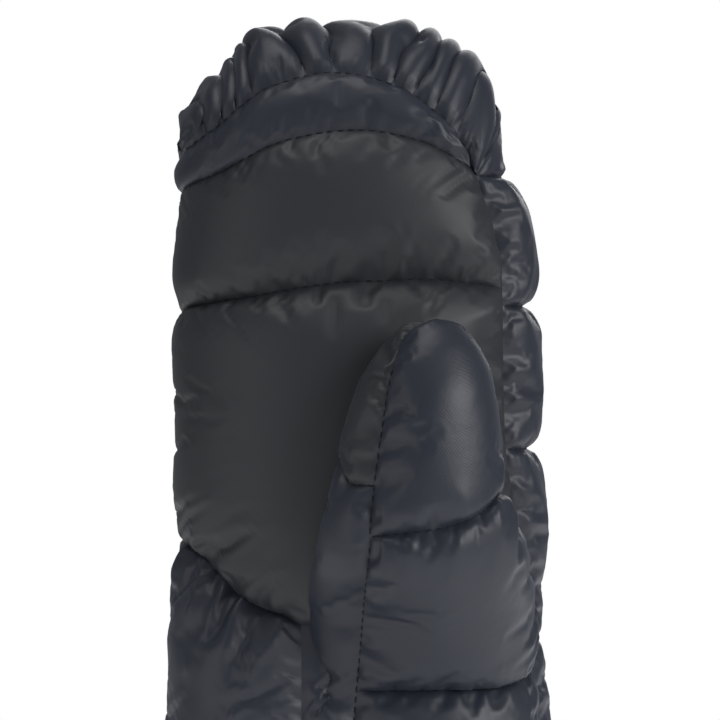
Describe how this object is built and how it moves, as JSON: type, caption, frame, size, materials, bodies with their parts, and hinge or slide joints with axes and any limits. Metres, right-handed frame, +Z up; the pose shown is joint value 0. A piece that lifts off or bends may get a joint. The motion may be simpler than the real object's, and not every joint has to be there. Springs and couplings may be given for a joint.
{
  "type": "ski mitten",
  "caption": "Padded ski mitten for the right hand: quilted back, smooth grip palm, gathered fingertip, set-in thumb and open cuff.",
  "frame": {"origin": "centre of the cuff's mouth, level with the hem that the mitten stands on", "axes": "+Z up towards the fingertip, +X across the hand towards the thumb side, -Y is the palm side"},
  "size_m": [0.1372, 0.1187, 0.3008],
  "materials": {
    "shell_cloth": "navy-slate nylon with a satin sheen",
    "grip_cloth": "charcoal smooth synthetic leather, matte",
    "hem_cloth": "dark folded nylon binding",
    "fill": "white fibre fill",
    "membrane": "thin waterproof film",
    "fleece": "dark brushed fleece",
    "elastic": "woven elastic band",
    "label_tape": "blank white satin tape",
    "seam_thread": "dark polyester sewing thread"
  },
  "bodies": {
    "cuff": {"hem_binding": "hem_cloth", "hem_elastic": "elastic", "cuff_palm_panel": "shell_cloth", "cuff_thumb_gusset": "shell_cloth", "cuff_back_panel": "shell_cloth", "cuff_palm_fill": "fill", "cuff_back_fill": "fill", "cuff_lining": "fleece", "wrist_elastic": "elastic", "care_label": "label_tape"},
    "hand": {"palm_lower_panel": "grip_cloth", "wrist_palm_panel": "shell_cloth", "hand_back_baffle": "shell_cloth", "knuckle_back_baffle": "shell_cloth", "thumb_root_strip": "shell_cloth", "thumb_root_panel": "shell_cloth", "hand_palm_fill": "fill", "hand_back_fill": "fill", "thumb_root_fill": "fill", "hand_membrane": "membrane", "hand_lining": "fleece"},
    "fingers": {"palm_upper_panel": "grip_cloth", "fingertip_cap_panel": "shell_cloth", "finger_back_baffle": "shell_cloth", "fingertip_back_baffle": "shell_cloth", "fingers_palm_fill": "fill", "fingers_back_fill": "fill", "fingers_membrane": "membrane", "fingers_lining": "fleece"},
    "thumb": {"thumb_outer_panel": "shell_cloth", "thumb_inner_panel": "shell_cloth", "thumb_grip_patch": "grip_cloth", "thumb_fill": "fill", "thumb_membrane": "membrane", "thumb_lining": "fleece"}
  },
  "joints": [
    {"name": "wrist_bend", "type": "hinge", "parent": "cuff", "child": "hand", "pos_m": [0, -0.0362, 0.084], "axis": [1, 0, 0], "range_deg": [0, 30], "stiffness_Nm_per_rad": 0.6},
    {"name": "finger_curl", "type": "hinge", "parent": "hand", "child": "fingers", "pos_m": [0, -0.0363, 0.205], "axis": [1, 0, 0], "range_deg": [0, 50], "stiffness_Nm_per_rad": 0.25},
    {"name": "thumb_flex", "type": "hinge", "parent": "hand", "child": "thumb", "pos_m": [0.021, -0.0768, 0.128], "axis": [0.9781, 0, 0.2079], "range_deg": [0, 30], "stiffness_Nm_per_rad": 0.12}
  ]
}
